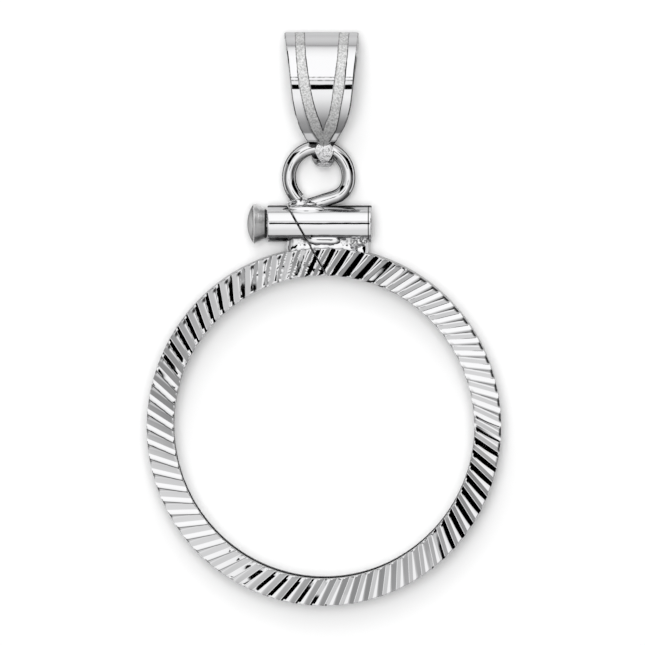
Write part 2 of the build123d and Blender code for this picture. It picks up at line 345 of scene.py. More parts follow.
def make_mesh(name, surfaces, marks, sharp):
    """One closed mesh from several surfaces: seams are welded, faces turned outwards and creases kept crisp."""
    faces, first = [], 0
    for points, quads, caps in surfaces:
        faces += (quads + first).tolist() + [(cap + first).tolist() for cap in caps]
        first += len(points)
    mesh = bpy.data.meshes.new(name)
    mesh.from_pydata(np.concatenate([points for points, _, _ in surfaces]) * MM, [], faces)
    for mark, values in marks.items():
        layer = mesh.attributes.new(mark, "FLOAT", "POINT")
        layer.data.foreach_set("value", np.asarray(values, np.float32).ravel())
    shape = bmesh.new()
    shape.from_mesh(mesh)
    bmesh.ops.remove_doubles(shape, verts=shape.verts, dist=0.0005 * MM)
    bmesh.ops.dissolve_degenerate(shape, edges=shape.edges, dist=0.0004 * MM)
    bmesh.ops.recalc_face_normals(shape, faces=shape.faces)
    shape.to_mesh(mesh)
    shape.free()
    mesh.shade_smooth()
    mesh.set_sharp_from_angle(angle=radians(sharp))
    return mesh


def add_piece(
    name, surfaces, material, marks=(), sharp=32, body="frame", nodes=()
):
    """Puts a piece into the scene, riding on its CAD body and standing for the CAD nodes named."""
    mesh = make_mesh(name, surfaces, dict(marks), sharp)
    mesh.materials.append(material)
    piece = bpy.data.objects.new(name, mesh)
    bpy.context.scene.collection.objects.link(piece)
    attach(piece, body)
    if nodes:
        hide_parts(*nodes)


def cut_x(b, y, side=0):
    """Where the slanted saw cut lies at a height y: its middle, its left face (-1) or its right face (1)."""
    middle = b.cut_at - (y - b.axis_y) * tan(b.cut_angle)
    return middle + side * b.cut_width / 2 / cos(b.cut_angle)


def cut_turn(b, radius, side):
    """The angle, clockwise from the top, at which a face of the saw cut crosses a radius of the ring:
    the cut keeps a fixed distance from the ring's centre, so its angle is asin(distance / radius)
    less its slant."""
    distance = (b.cut_at + b.axis_y * tan(b.cut_angle)) * cos(b.cut_angle)
    return np.arcsin((distance + side * b.cut_width / 2) / radius) - b.cut_angle


def flute_turn(radius, across, middle, slant):
    """The angle at which a line at a distance across from a cut's floor crosses a radius:
    the line starts at the ring's middle radius, slanted from the radial direction."""
    along = -middle * cos(slant) + np.sqrt(radius**2 - (middle * sin(slant) - across) ** 2)
    x = along * sin(slant) + across * cos(slant)
    y = middle + along * cos(slant) - across * sin(slant)
    return np.arctan2(x, y)


def rounded_off(past, radius):
    """How far a rounded edge has fallen at a distance past the start of its rounding:
    radius - sqrt(radius^2 - past^2)."""
    return radius - np.sqrt(np.maximum(radius**2 - np.maximum(past, 0) ** 2, 0))


def ring_section(r):
    """The ring's section as (radius, height, height of the slope itself), round from the front's inner
    edge, and then the rest of it as (radius, height)."""
    quarter = np.linspace(0, pi / 2, 8)
    crown, brink = r.opening + r.inner_round, r.radius - r.outer_round
    rows = np.concatenate(
        [
            r.opening + r.inner_round * (1 - np.sin(quarter[::-1])),
            np.linspace(crown, brink - 0.2, 15)[1:-1],
            np.linspace(brink - 0.2, brink, 7)[:-1],
            brink + r.outer_round * np.sin(quarter),
        ]
    )
    line = r.depth - (np.clip(rows, crown, brink) - crown) * tan(r.face_slope)
    fall = rounded_off(crown - rows, r.inner_round) + rounded_off(rows - brink, r.outer_round)
    outer, inner, back, edge = r.radius, r.opening, r.back_round, 0.04
    rest = [(outer, r.depth - 0.28), (outer, r.depth - 0.45), (outer, 0.4), (outer, back)]
    rest += [(outer - back, 0), (outer - 0.45, 0), (inner + back, 0), (inner, back)]
    rest += [(inner, r.back_lip - edge), (inner + edge, r.back_lip), (r.groove, r.back_lip)]
    rest += [(r.groove, r.back_lip + 0.7), (r.groove, r.groove_top)]
    rest += [(inner + edge, r.groove_top), (inner, r.groove_top + edge)]
    return np.stack([rows, line - fall, line], -1), np.array(rest)


def cut_rise(r, across):
    """How far the wall of a cut has risen at a distance across from its middle. The floor is flat. The
    side clockwise of it is flat too; the other rolls over to the land at last, slope * e - bend * e^2 / 2."""
    flat, roll = r.flute_flat, r.flute_left - r.flute_flat
    lip = tan(r.flute_lip)
    slope = (r.flute_depth - lip * roll / 2) / (flat + roll / 2)
    out = np.maximum(np.abs(across) - r.flute_floor / 2, 0)
    past = np.clip(out - flat, 0, roll)
    beyond = np.maximum(out - flat - roll, 0)
    rolled = slope * np.minimum(out, flat) + slope * past - (slope - lip) / roll * past**2 / 2 + lip * beyond
    return np.where(across > 0, r.flute_depth / r.flute_right * out, rolled)


def ring_turns(r, b, radii, middle_row):
    """The angle of each of the ring's columns at each radius of its section. The columns run along the
    cuts' edges, and those of the four cuts at either side of the saw cut lean over to its faces."""
    floor = r.flute_floor / 2
    left, flat, right = floor + r.flute_left, floor + r.flute_flat, floor + r.flute_right
    middle = (r.opening + r.radius) / 2
    step = TURN / r.flutes
    near, first = 4, -2

    def edges(index, across):
        return index * step + flute_turn(radii, across, middle, r.flute_slant)

    columns = []
    for index in range(first, first + r.flutes):
        fine = 2 if index - first < near or index - first >= r.flutes - near else 1
        sides = (
            np.linspace(-left, -flat, 2 * fine + 1)[:-1],
            np.linspace(-flat, -floor, 2 * fine + 1),
            np.linspace(floor, right, 3 * fine + 1),
        )
        columns += [edges(index, across) for across in np.concatenate(sides)]
        start, end = edges(index, right), edges(index + 1, -left)
        columns += [start + (end - start) * part for part in np.linspace(0, 1, 6 * fine + 1)[1:-1]]
    columns.append(edges(first + r.flutes, -left))
    turn = np.array(columns)
    nominal = turn[:, middle_row]
    reach = near * step * 0.9
    lead = np.clip(1 - (nominal - nominal[0]) / reach, 0, 1)[:, None]
    trail = np.clip(1 - (nominal[-1] - nominal) / reach, 0, 1)[:, None]
    turn = turn + smooth(lead) * (cut_turn(b, radii, 1) - turn[0])
    turn = turn + smooth(trail) * (cut_turn(b, radii, -1) + TURN - turn[-1])
    # Where they lean over most the columns would cross at the inner edge, so each stays ahead of the last
    ahead = np.arange(len(turn))[:, None] * 2e-4
    turn = np.maximum.accumulate(turn - ahead) + ahead
    # A column close to each cut face, so that the face's dark marks don't run out over the wall beside it
    beside = turn[[0, -1]] * 0.98 + turn[[1, -2]] * 0.02
    return np.concatenate([turn[:1], beside[:1], turn[1:-1], beside[1:], turn[-1:]])


def front_dark_marks(r, facing, across, radius, land, left, right):
    """How dark each point of the ring's front is: a painted dark reflection along one side of each land,
    and dark spots, dots and dashes of painted reflection near the outer edge, where two cuts nearly meet, and dark
    nicks at the cuts' inner ends."""
    behind = np.where(across > 0, across - right, land + across + left)
    line_at = land * np.interp(facing, *REFLECTION_PLACE)
    # A line of painted dark reflection along one side of each land
    painted_dark = np.interp(facing, *LAND_REFLECTION) * bell(behind, line_at, np.interp(facing, *REFLECTION_WIDTH))
    in_land = np.clip(behind / 0.02, 0, 1) * np.clip((land + 0.03 - behind) / 0.02, 0, 1)
    from_edge, from_opening = r.radius - radius, radius - r.opening
    hook = between(behind, line_at - 0.05, land + 0.16, 0.02)
    spots = np.minimum(2 * bell(from_edge, 0.06, 0.045), 1) * hook * np.interp(facing, *SPOTS)
    # Dashes of painted reflection near the outer edge
    dashes = bell(from_edge, 0.06, 0.05) * in_land * np.interp(facing, *DASHES)
    dots = 2.2 * bell(from_edge, 0.17, 0.07) * bell(behind, 0.5 * land, 0.05) * np.interp(facing, *DOTS)
    nicks = bell(from_opening, 0.12, 0.06) * bell(behind, -0.04, 0.06) * np.interp(facing, *NICKS)
    return np.minimum(np.maximum.reduce([painted_dark, spots, dashes, dots, nicks]), 1)


def ring_points(r, b):
    """The ring as a grid, with how much painted shade and how dark each point is. The front is the lower of the
    worn land between two cuts and the nearest cut, line - depth + cut_rise(distance across) +
    rise*(place along the cut)^2. The ring is a little taller than wide, so its heights below the barrel
    are stretched."""
    front, rest = ring_section(r)
    rows = len(front)
    radii = np.concatenate([front[:, 0], rest[:, 0]])
    turn = ring_turns(r, b, radii, rows // 2)

    slant, step = r.flute_slant, TURN / r.flutes
    floor = r.flute_floor / 2
    left, right = floor + r.flute_left, floor + r.flute_right
    middle = (r.opening + r.radius) / 2
    radius = np.broadcast_to(front[:, 0], (len(turn), rows))
    at = turn[:, :rows]
    index = np.round((at - flute_turn(radius, 0.0, middle, slant) - step * 0.02) / step)
    local = at - index * step
    x, y = radius * np.sin(local), radius * np.cos(local) - middle
    across = x * cos(slant) - y * sin(slant)
    along = ((x * sin(slant) + y * cos(slant)) / 0.8) ** 2
    land = step * middle * cos(slant) - left - right
    worn = np.clip(np.maximum(across - right, -across - left) / land, 0, 1)
    face = front[:, 1] - r.land_round * (1 - 4 * worn * (1 - worn))
    facing = np.degrees(at) % 360
    # Where the tool was tilted, the anticlockwise sides run out to points at both ends
    tilt = r.flute_tilt * np.interp(facing, *TOOL_TILT) * np.clip(-(across + floor) / 0.08, 0, 1)
    vee = front[:, 2] - r.flute_depth + cut_rise(r, across) + (r.flute_rise + tilt) * along
    height = np.concatenate([np.minimum(face, vee), np.broadcast_to(rest[:, 1], (len(turn), len(rest)))], 1)
    y = r.radius - (r.radius - radii * np.cos(turn)) * r.stretch

    # Painted shade on the ring's outer wall, strongest at its top, less further down, and a third of it over the
    # back and the inner walls
    shade_and_marks = np.zeros(height.shape)
    shade_and_marks[:, rows - 1 : rows + 1] = r.wall_shade
    shade_and_marks[:, rows + 1 : rows + 4] = r.wall_shade * 0.45
    shade_and_marks[:, rows + 4 :] = r.wall_shade / 3
    dark = np.zeros(height.shape)
    dark[:, :rows] = front_dark_marks(r, facing, across, radius, land, left, right)
    # A thin line of painted shade runs along the inner edge
    dark[:, (0, 1, -1)] = 0.75
    # The two faces of the saw cut are painted dark, as the shade in the slit between them
    dark[(0, -1), :] = 0.9
    shade_and_marks[(0, -1), :] = 1.0
    return np.stack([radii * np.sin(turn), y, height], -1), {"shade_and_marks": shade_and_marks, "engraved": dark}


def barrel_points(b, side):
    """One half of the sawn barrel: a tube whose inner end is where the slanted plane of the cut meets
    each line of it, with how much painted shade and how dark each point is."""
    turn = np.linspace(0, TURN, 128, endpoint=False)[:, None]
    quarter = np.linspace(0, pi / 2, 6)
    radius, edge = b.radius, b.edge
    lip = np.concatenate([[b.bore, b.bore + 0.06], radius - edge + edge * np.sin(quarter), np.full(5, radius)])
    inset = np.concatenate([[0.06, 0.0], edge * (1 - np.cos(quarter)), (0.12, 0.15, 0.18, 0.21, 0.24)])
    radii = np.concatenate([lip, np.full(7, radius), [radius, b.bore], np.full(4, b.bore)])
    wall = (*np.linspace(0.1, 0.9, 6), 0.985, 1, 1, *np.linspace(0.85, 0.1, 4))
    parts = np.concatenate([np.zeros(len(lip)), wall])
    outer_end = b.left if side < 0 else b.right
    start = outer_end - side * np.concatenate([inset, np.full(len(wall), inset[-1])])
    y = b.axis_y + radii * np.cos(turn)
    z = b.axis_z + radii * np.sin(turn)
    x = start + (cut_x(b, y, side) - start) * parts
    # Painted shade where the tube turns away from the front: on the upper side it is left off along the loop's
    # foot, on the lower side it grows slowly
    upper = edge_on_shade(np.sin(turn), 62, 74) * np.interp(x, (-1.85, -1.6, -0.35, 0.05), (0.9, 0, 0, 1))
    shade_and_marks = np.where(np.cos(turn) > 0, upper, edge_on_shade(np.sin(turn), 66, 90))
    # The tube's drawn seam
    seam = bell(radius * np.cos(turn), 0.15, 0.03) * (np.sin(turn) > 0)
    shade_and_marks = np.maximum(shade_and_marks, 0.4 * seam)
    # A dark line is painted round the right end, and the faces of the saw cut are painted dark, as the shade in
    # the slit
    line = np.zeros(x.shape)
    line[:, 9:11] = 0.9 * (side > 0)
    line[:, len(lip) + 7 : len(lip) + 9] = 0.9
    return np.stack([x, y, z], -1), {"shade_and_marks": shade_and_marks, "engraved": line}


def blob(centre, size, lumps=0.0, seed=0.0, steps=40):
    """A lumpy mound: an ellipsoid whose radius swells by a sum of three sine waves over its surface."""
    around = np.linspace(0, TURN, 2 * steps, endpoint=False)[:, None]
    down = np.linspace(0, pi, steps)[None, :]
    unit = grid(np.sin(down) * np.cos(around), np.sin(down) * np.sin(around), np.cos(down))
    x, y, z = unit[..., 0], unit[..., 1], unit[..., 2]
    wave = (
        np.sin(5.1 * x + 3.3 * y + seed)
        + np.sin(7.7 * y - 4.9 * z + 1.7 * seed)
        + 0.7 * np.sin(11.3 * z + 8.1 * x - 2.3 * seed)
    )
    return np.array(centre) + unit * np.array(size) * (1 + lumps * wave)[..., None]


def trim_to_cut(points, b, side=1):
    """Flattens a mound of solder against the face of the saw cut that it stands beside."""
    limit = cut_x(b, points[..., 1], side)
    x = np.maximum(points[..., 0], limit) if side > 0 else np.minimum(points[..., 0], limit)
    return np.concatenate([x[..., None], points[..., 1:]], -1)


def clear_of_bore(points, b):
    """Points nearer to the barrel's axis than its bore and 0.05 mm, moved straight out to there."""
    middle = np.array((b.axis_y, b.axis_z))
    off = points[..., 1:] - middle
    far = np.linalg.norm(off, axis=-1, keepdims=True)
    points[..., 1:] = middle + off * np.maximum(1, (b.bore + 0.05) / far)
    return points


def saddle_points(b, left, right, ring_radius):
    """The solder wall between the ring and the barrel. Its two faces are hollow: half depth = from the
    ring's side to the barrel's, less a sine, and it thins to its ends as a root of 1 - place^6."""
    x = np.linspace(left, right, 60)[:, None]
    v = np.concatenate([np.linspace(0, 1, 14), np.linspace(1, 0, 14)])[None, :]
    front = np.repeat((1.0, -1.0), 14)[None, :]
    low = np.sqrt(ring_radius**2 - x**2) - 0.22
    high = b.axis_y - b.radius + 0.34
    along = (2 * x - left - right) / (right - left)
    thin = np.sqrt(np.maximum(1 - along**6, 0.0))
    half = (0.86 - 0.20 * v - 0.24 * np.sin(pi * v)) * (0.25 + 0.75 * thin)
    wave = 0.02 * np.sin(9 * x + 4 * v) + 0.015 * np.sin(17 * x - 3 * v)
    return grid(x, low + (high - low) * v, b.axis_z + front * (half + wave))


def loop_path(s):
    """The wire's middle line: an arc over the top, a tighter arc turned in at the right, and a straight run."""
    centre = np.array((s.centre_x, s.centre_y))
    turn = np.linspace(s.foot_angle, -s.tuck_angle, 110)
    arc = centre + s.radius * np.stack([np.cos(turn), np.sin(turn)], -1)
    middle = centre + (s.radius - s.tuck_radius) * np.array((cos(s.tuck_angle), -sin(s.tuck_angle)))
    turn = np.linspace(-s.tuck_angle, s.run_angle - pi / 2, 36)[1:]
    tight = middle + s.tuck_radius * np.stack([np.cos(turn), np.sin(turn)], -1)
    heading = np.array((-cos(s.run_angle), -sin(s.run_angle)))
    run = tight[-1] + np.linspace(0, s.run, 24)[1:, None] * heading
    flat = np.concatenate([arc, tight, run])
    return np.concatenate([flat, np.full((len(flat), 1), s.level)], 1)


def loop_points(s):
    """The wire along its path, path + radius*(cos*side + sin*up) where side is square to the path, with
    how much painted shade and how dark each point is: painted shade on its sides, and two wavering dark streaks of
    painted reflection along it."""
    path = loop_path(s)
    ahead = np.gradient(path, axis=0)
    ahead /= np.linalg.norm(ahead, axis=1)[:, None]
    up = np.array((0.0, 0.0, 1.0))
    turn = np.linspace(0, TURN, 72, endpoint=False)
    around = np.cos(turn)[:, None] * np.cross(ahead, up)[:, None, :] + np.sin(turn)[:, None] * up
    points = path[:, None, :] + s.wire * around
    turn = np.degrees(turn)[None, :]
    middle = path - np.array((s.centre_x, s.centre_y, 0))
    where = np.degrees(np.arctan2(middle[:, 1], middle[:, 0]))[:, None] % 360
    wander = np.sin(np.radians(where) * 5)
    streak = np.interp(where, *OUTER_STREAK) * bell(turn + 4 * wander, 121, 8)
    streak += np.interp(where, *INNER_STREAK) * (1 + 0.3 * wander) * bell(turn - 4 * wander, 58, 7)
    # Painted shade where the wire turns away from the front
    shade_and_marks = edge_on_shade((points[..., 2] - s.level) / s.wire, 58, 64)
    return points, {"shade_and_marks": shade_and_marks, "engraved": np.minimum(streak, 1)}


def bail_profile(b):
    """The outside of the bail's front seen from its side, as (y, z). Its height is the running sum of the
    tangent of its lean, set so that its fullest point is the bow."""
    y = np.linspace(BAIL_LEAN[0][0], BAIL_LEAN[0][-1], 400)
    step = np.tan(np.radians(np.interp(y, *BAIL_LEAN)))
    z = -np.concatenate([[0], np.cumsum((step[1:] + step[:-1]) / 2 * np.diff(y))])
    return y, z + b.bow - z.max()


def bail_columns(edge, line, rim):
    """Where the columns across the bail's front lie and what each one is, from the edges of its five
    strips. Each strip is five columns between thin engraved lines; a rim with painted shade runs down both sides.
    Gives x, frost, engraved line and rim shade, and how much of the side scoops each column takes."""
    meet = np.clip(1.5 - (edge[:, 3] - edge[:, 2]) / 0.03, 0, 1)
    none, full = np.zeros(len(edge)), np.ones(len(edge))
    # The outermost columns carry painted shade along the bail's left edge
    columns = [(edge[:, 0], none, 0.8 * full, full), (edge[:, 0] + rim, none, 0.45 * full, full)]
    for k in range(5):
        start, width = edge[:, k], edge[:, k + 1] - edge[:, k]
        thin = np.minimum(line, 0.2 * width)
        first = np.full(len(edge), rim) if k == 0 else thin
        last = np.full(len(edge), rim) if k == 4 else thin
        frost = (none, full, meet, full, none)[k]
        if k:
            columns.append((start, frost * 0.5, 1 - meet if k in (2, 3) else full, none))
        for part in (0.0, 0.25, 0.5, 0.75, 1.0):
            dip = min(1.0, 2.5 * (1 - part)) if k == 0 else min(1.0, 2.5 * part)
            take = dip * full if k in (0, 4) else none
            columns.append((start + first + (width - first - last) * part, frost, none, take))
    # Painted shade along the bail's right edge
    columns += [(edge[:, 5] - rim, none, 0.45 * full, full), (edge[:, 5], none, 0.8 * full, full)]
    return [np.array(part).T for part in zip(*columns)]


def bail_marks(x, y, frost, line, scoop, rows, shown, curled):
    """How frosted, engraved and rough each point of the bail is, and how much painted shade it has, outside and
    then inside.
    """
    # Painted shade darkens the front towards its tip, the bands less than the bare strips, and the sides
    shade_and_marks = np.interp(y, *BAND_SHADE) * np.where(frost < 0.5, 1, 0.7)
    shade_and_marks = np.where(scoop > 0, np.interp(y, *SIDE_SHADE) * np.where(x < 0, 0.85, 1), shade_and_marks)
    shade_and_marks[rows:] = 0
    shade_and_marks[rows:shown] = np.array(FACET_DULL)[:, None]
    # A line of painted shade along the crease
    shade_and_marks[rows - 1] = 0.4
    rough = np.zeros(x.shape)
    rough[shown:] = np.interp(curled, (60, 150, 175, 190), (0.85, 1, 0.6, 0))[:, None]
    # Two lines are drawn across the bare strips
    for height in (17.865, 18.03):
        line[:rows] += bell(y[:rows], height, 0.028) * (frost[:rows] < 0.5)
    # Painted shade fills the hollows beside the tip, and between them and the tip a narrow bright edge is left
    scooped = between(y, 14.20, 14.68, 0.05) * (scoop > 0) * (np.abs(x - 0.02) < 0.78) * 0.85
    line[:rows] = np.maximum(line, scooped)[:rows]
    tip_edge = (y < 14.70) & (scoop == 0) & (frost < 0.9) & (np.arange(len(y)) < rows)[:, None]
    for values in (frost, line, shade_and_marks):
        values[tip_edge] = 0
    marks = {"frost": frost, "engraved": line, "shade_and_marks": shade_and_marks, "rough": rough}
    marks = {mark: np.concatenate([values, np.zeros(values.shape)], 1) for mark, values in marks.items()}
    # The strap behind has a line of painted shade along both edges
    marks["engraved"][shown:, (x.shape[1], -1)] = 0.8
    return marks


def bail_points(b):
    """The bail as a closed shell round its strap, with how frosted, engraved and rough each point is, and how
    much painted shade it has. Rows run along the strap, from the tip over the front, top, back and curl to the
    tongue on its
    eye. Columns run across it: the outside from left to right, then the inside from right to left."""
    profile_y, profile_z = bail_profile(b)
    tip, crease, crease_z = profile_y[0], profile_y[-1], profile_z[-1]
    front = np.linspace(0, 1, 220)
    facet = np.linspace(0, 1, len(FACET_DULL) + 1)[1:]
    quarter = np.linspace(0, pi / 2, 18)[1:]
    back = np.linspace(0, 1, 22)[1:]
    bend = np.linspace(270, b.tongue_end, 70)[1:]
    turn = np.radians(bend)
    # The tongue lies closer to the wire than the turn behind it
    reach = np.interp(bend, (70, 110, 150, 185), (b.curl - 0.20, b.curl - 0.09, b.curl, b.curl))
    path_y = np.concatenate(
        [
            tip + (crease - tip) * front,
            crease + (b.top - crease) * facet,
            b.top - b.roll + b.roll * np.cos(quarter),
            b.top - b.roll + (b.eye_y - b.top + b.roll) * back,
            b.eye_y + reach * np.cos(turn),
        ]
    )
    path_z = np.concatenate(
        [
            np.interp(tip + (crease - tip) * front, profile_y, profile_z),
            crease_z + (b.roll - crease_z) * facet,
            b.roll - b.roll * np.sin(quarter),
            np.zeros(len(back)),
            b.eye_z + reach * np.sin(turn),
        ]
    )
    rows, shown = len(front), len(front) + len(facet)
    at = np.minimum(path_y, b.top)
    edge = np.stack([np.interp(at, BAIL_LINES[:, 0], BAIL_LINES[:, k]) for k in range(1, 7)], -1)
    x, frost, line, scoop = bail_columns(edge, b.line, b.rim)

    # Behind the top facet the columns keep their places across the strap, which narrows to its neck
    last = edge[shown - 1]
    centre, half = (last[0] + last[5]) / 2, (last[5] - last[0]) / 2
    across = (x[shown - 1] - centre) / half
    hidden_y = path_y[shown:]
    curled = np.concatenate([np.full(len(hidden_y) - len(bend), 270.0), bend])
    wide = np.interp(hidden_y, *STRAP_HALF_WIDTH)
    wide = np.where(curled < 250, np.interp(curled, *TONGUE_HALF_WIDTH), wide)
    aside = np.interp(hidden_y, *STRAP_ASIDE) * np.interp(curled, (180, 215), (0, 1))
    middle = centre - (hidden_y - b.top) * b.lean + aside
    x[shown:] = middle[:, None] + wide[:, None] * across
    frost[shown + 2 :] = 0
    line[shown + 2 :, 1:-1] = 0

    step_y, step_z = np.gradient(path_y), np.gradient(path_z)
    size = np.hypot(step_y, step_z)
    out_y, out_z = (-step_z / size)[:, None], (step_y / size)[:, None]
    grid_y, grid_z = (np.repeat(path[:, None], x.shape[1], 1) for path in (path_y, path_z))
    round_tip = 0.04 * np.clip((np.abs(np.linspace(-1, 1, x.shape[1])) - 0.3) / 0.7, 0, 1) ** 2
    grid_y[:rows] += round_tip * (1 - front[:, None]) ** 2
    grid_z[:rows] = np.interp(grid_y[:rows], profile_y, profile_z)
    low = np.clip((14.80 - grid_y) / 0.40, 0, 1)
    low[rows:] = 0
    drop = b.line_depth * line * (scoop == 0) + b.scoop * smooth(low) * scoop
    drop[:, (0, -1)] += b.rim
    drop[:, (1, -2)] += b.rim * 0.3
    # The front stands nearer to the camera than the ring, so its lines are moved up by as much as they
    # seem to sink
    lift = 0.052 * np.clip(grid_z - 1.5, 0, None)
    lift[rows:] = 0
    lift[rows:shown] = 0.052 * (crease_z - 1.5) * (1 - facet[:, None])
    # The front is thinned towards its tip, so that it clears the wire when it is swung
    thick = np.full(grid_y.shape, b.strap)
    thick[:rows] *= np.interp(grid_y[:rows], (14.70, 15.40), (0.62, 1))
    outside = np.stack([x, grid_y + lift - drop * out_y, grid_z - drop * out_z], -1)
    inside = np.stack([x, grid_y + lift - thick * out_y, grid_z - thick * out_z], -1)[:, ::-1]
    marks = bail_marks(x, grid_y, frost, line, scoop, rows, shown, curled)
    return np.concatenate([outside, inside], 1), marks


def screw_parts(s, seat, tip, y, z):
    """The screw: a turned cone and shoulder, y + radius*cos and z + radius*sin; a thread on the shank
    whose radius is a triangle wave of x / pitch - turn / full turn; and a domed face made of rows so that
    a straight slot can be sunk in it."""
    head, foot = s.head, s.seat
    # The head is 1.01 mm long, and the edge round its face is 0.06 mm wide
    face, shoulder = seat - 1.01, head - 0.06
    turn = np.linspace(0, TURN, 96, endpoint=False)[:, None]
    # Along the axis: place, radius, and how much painted shade it has in the gap beside the barrel and round the
    # face
    profile = (
        (face + s.dome, shoulder, 0.5),
        (face + s.dome + 0.03, head - 0.025, 0.3),
        (seat - s.cone, head, 0.0),
        (seat - s.cone + 0.05, head - 0.02, 0.0),
        (seat - 0.33, 0.5 * (head + foot) + 0.015, 0.0),
        (seat - 0.12, foot + 0.07, 0.1),
        (seat - 0.09, foot + 0.05, 0.9),
        (seat - 0.03, foot + 0.02, 1.0),
        (seat, foot - 0.02, 1.0),
        (seat, s.shank, 1.0),
    )
    x, radius, painted_dark = np.array(profile).T
    head_points = grid(x, y + radius * np.cos(turn), z + radius * np.sin(turn))

    part = np.arange(96)[:, None] / 96
    turn = part * TURN
    x = np.concatenate([[seat], np.linspace(seat + 0.1, tip - 0.12, 200), [tip, tip]])
    ridge = np.abs(2 * ((x / s.pitch - part) % 1) - 1)
    radius = s.shank - np.where((x > seat + 0.2) & (x < tip - 0.1), s.thread, 0.0) * ridge
    radius[:, -2] = s.shank - 0.12
    radius[:, -1] = 0.0
    shank_points = grid(x, y + radius * np.cos(turn), z + radius * np.sin(turn))

    levels = shoulder * np.sin(np.linspace(-pi / 2, pi / 2, 49))
    keep = np.abs(np.abs(levels) - s.slot) > 0.03
    levels = np.sort(np.concatenate([levels[keep], [-s.slot, -s.slot, s.slot, s.slot]]))
    sunk = np.abs(levels) < s.slot - 1e-6
    edge = np.flatnonzero(np.abs(np.abs(levels) - s.slot) < 1e-6)
    sunk[edge[1:3]] = True
    across = np.linspace(-1, 1, 41)[None, :]
    dy = np.sqrt(np.maximum(shoulder**2 - levels**2, 0))[:, None] * across
    dz = np.broadcast_to(levels[:, None], dy.shape)
    ball = (s.dome**2 + shoulder**2) / (2 * s.dome)
    height = face + ball - np.sqrt(np.maximum(ball**2 - dy**2 - dz**2, 0))
    floor = np.where(sunk[:, None], np.maximum(height, face + s.slot_depth), height)
    face_points = np.stack([floor, y + dy, z + dz], -1)
    # The face is a little darkened all over, more across its middle, and painted shade lies at its edge
    face_dark = np.minimum(0.18 + 0.7 * bell(dz, 0, 0.7) + 0.6 * np.abs(across) ** 6, 1)

    marks = (np.broadcast_to(painted_dark, head_points.shape[:2]), np.zeros(shank_points.shape[:2]), face_dark)
    parts = [surface(head_points, wrap_rows=True), surface(shank_points, wrap_rows=True), surface(face_points)]
    return parts, {"engraved": np.concatenate([mark.ravel() for mark in marks])}


def add_node(tree, kind, values=None, links=None, **options):
    """Adds one node, sets its options and its free sockets, and links other nodes' outputs into the rest."""
    node = tree.nodes.new(kind)
    for option, value in options.items():
        setattr(node, option, value)
    for socket, value in (values or {}).items():
        node.inputs[socket].default_value = value
    for socket, (source, output) in (links or {}).items():
        tree.links.new(source.outputs[output], node.inputs[socket])
    return node


# The next ones add one kind of node each and give it with its output, ready to be linked


def noise(tree, millimetres, detail, vector=None, **more):
    """A cloudy pattern with cells this many millimetres long."""
    values = {"Scale": 1 / (millimetres * MM), "Detail": detail, **more}
    vector = vector or (add_node(tree, "ShaderNodeTexCoord"), "Object")
    return add_node(tree, "ShaderNodeTexNoise", values, {"Vector": vector}), "Fac"


def attribute(tree, name):
    """A mark that was computed with the mesh."""
    return add_node(tree, "ShaderNodeAttribute", attribute_name=name), "Fac"


def remap(tree, value, start, end, low=0.0, high=1.0):
    """A value from low to high, as one from start to end."""
    values = {"From Min": low, "From Max": high, "To Min": start, "To Max": end}
    return add_node(tree, "ShaderNodeMapRange", values, {"Value": value}), "Result"


def relief(tree, height, millimetres, below=None):
    """Bumps of this height, over those below."""
    links = {"Height": height, "Normal": below} if below else {"Height": height}
    values = {"Strength": 1.0, "Distance": millimetres * MM}
    return add_node(tree, "ShaderNodeBump", values, links), "Normal"


def product(tree, first, second):
    """Two values multiplied."""
    return add_node(tree, "ShaderNodeMath", links={0: first, 1: second}, operation="MULTIPLY"), "Value"


def mix(tree, factor, first, second):
    """One colour turned into another; each is a plain colour or an output."""
    values, links = {}, {"Fac": factor}
    for socket, colour in (("Color1", first), ("Color2", second)):
        if len(colour) == 3:
            values[socket] = (*colour, 1)
        else:
            links[socket] = colour
    return add_node(tree, "ShaderNodeMixRGB", values, links), "Color"


def new_material(name):
    """An empty material, and its node tree, ready for add_node."""
    material = bpy.data.materials.new(name)
    material.use_nodes = True
    material.node_tree.nodes.clear()
    return material, material.node_tree


def close_material(tree, shader, values, links=None):
    """Adds a material's shader and joins it to the output."""
    node = add_node(tree, shader, values, links)
    add_node(tree, "ShaderNodeOutputMaterial", links={"Surface": (node, 0)})


def polished_gold(name, finish, waves=0.012, pits=0.0, pit_depth=0.05):
    """Rhodium-bright white gold, cast, cut and buffed: a near-mirror whose reflections bend a little over
    the hand-buffed waves, with faint wipe marks in its gloss. Pits are for solder that wasn't cut back."""
    material, tree = new_material(name)
    # Buffing waves about 0.9 mm long
    normal = relief(tree, noise(tree, 0.9, 1.0), waves)
    if pits:
        # Solder pits about 0.16 mm across
        normal = relief(tree, noise(tree, 0.16, 3.0), pit_depth, normal)
    # Wipe marks, 0.25 mm patches of slightly softer gloss
    wipe = noise(tree, 0.25, 4.0)
    gloss = remap(tree, wipe, finish.polish * 0.7, finish.polish * 1.8 + pits, 0.35, 0.7)
    # Painted shade darkens the metal, and the darker marks, dirt with painted shade and painted dark reflections,
    # darken it further
    shade_and_marks = attribute(tree, "shade_and_marks")
    worn = mix(tree, shade_and_marks, finish.metal, finish.shade_and_marks)
    tint = mix(tree, attribute(tree, "engraved"), worn, finish.line)
    # Where painted shade lies, the metal stays dark also seen edge on, and it is rougher
    edge_tint = mix(tree, shade_and_marks, (1, 1, 1), (0, 0, 0))
    worn_gloss = add_node(tree, "ShaderNodeMath", {1: 0.3}, {0: shade_and_marks, 2: gloss}, operation="MULTIPLY_ADD")
    links = {"Base Color": tint, "Specular Tint": edge_tint, "Roughness": (worn_gloss, "Value"), "Normal": normal}
    close_material(tree, "ShaderNodeBsdfPrincipled", {"Metallic": 1.0}, links)
    return material


